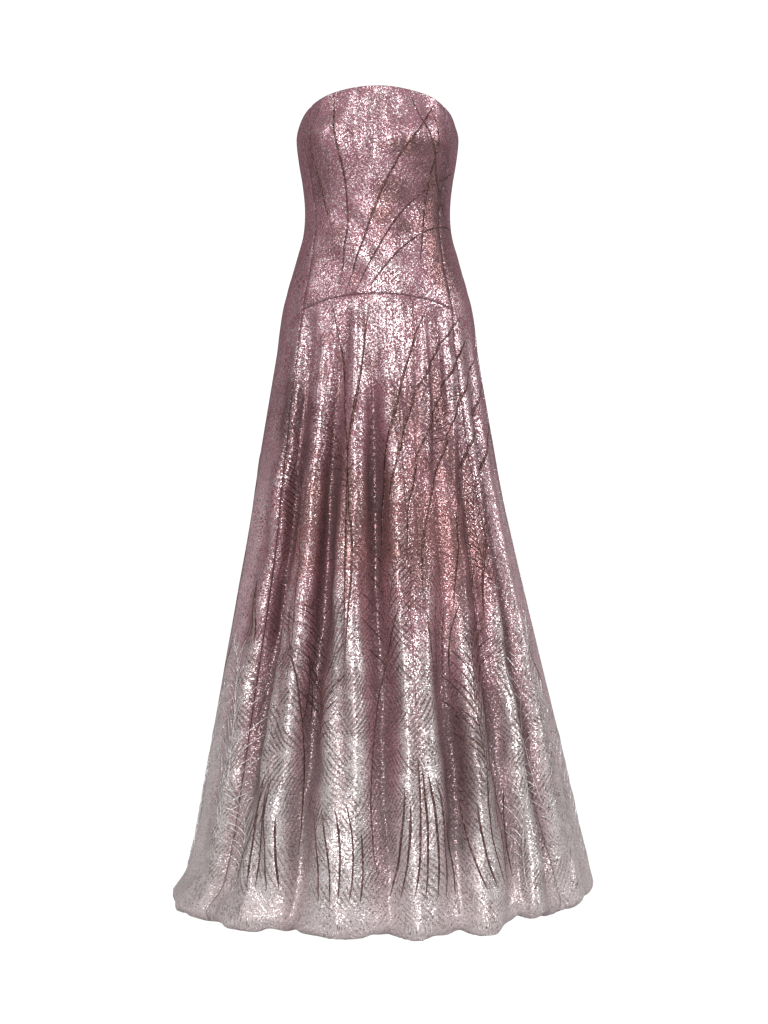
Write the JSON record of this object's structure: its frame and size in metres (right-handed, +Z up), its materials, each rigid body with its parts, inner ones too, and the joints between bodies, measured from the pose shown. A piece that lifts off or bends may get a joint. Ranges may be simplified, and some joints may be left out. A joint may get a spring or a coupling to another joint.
{
  "type": "strapless a-line gown",
  "caption": "Strapless a-line gown, filled out as when worn and empty inside: fitted bodice with a dropped-waist seam, floor-length skirt in soft folds, concealed back zip.",
  "frame": {"origin": "middle of the waist, where the wearer holds the gown up", "axes": "+Z up, -Y is the front, +X is the right-hand side of the picture; the hem lies on the floor at Z -1.165"},
  "size_m": [0.7018, 0.6097, 1.357],
  "materials": {
    "mauve": "mauve sequins on matt net",
    "silver_rose": "silver and rose sequins that thin out to tulle at the hem",
    "zip_tape": "woven tape",
    "zip_metal": "enamelled to match the cloth"
  },
  "bodies": {
    "gown": {"bodice_front": "mauve", "skirt_front": "silver_rose", "side_front_right": "mauve", "side_back_right": "mauve", "bodice_back_right": "mauve", "skirt_back_right": "silver_rose", "side_front_left": "mauve", "side_back_left": "mauve", "bodice_back_left": "mauve", "skirt_back_left": "silver_rose", "zip_tape": "zip_tape", "zip_slider": "zip_metal"},
    "zip_pull": {"zip_pull": "zip_metal"}
  },
  "joints": [
    {"name": "zip_pull_swing", "type": "hinge", "parent": "gown", "child": "zip_pull", "pos_m": [0, 0.09324, 0.098], "axis": [1, 0, 0], "range_deg": [0, 150]}
  ]
}
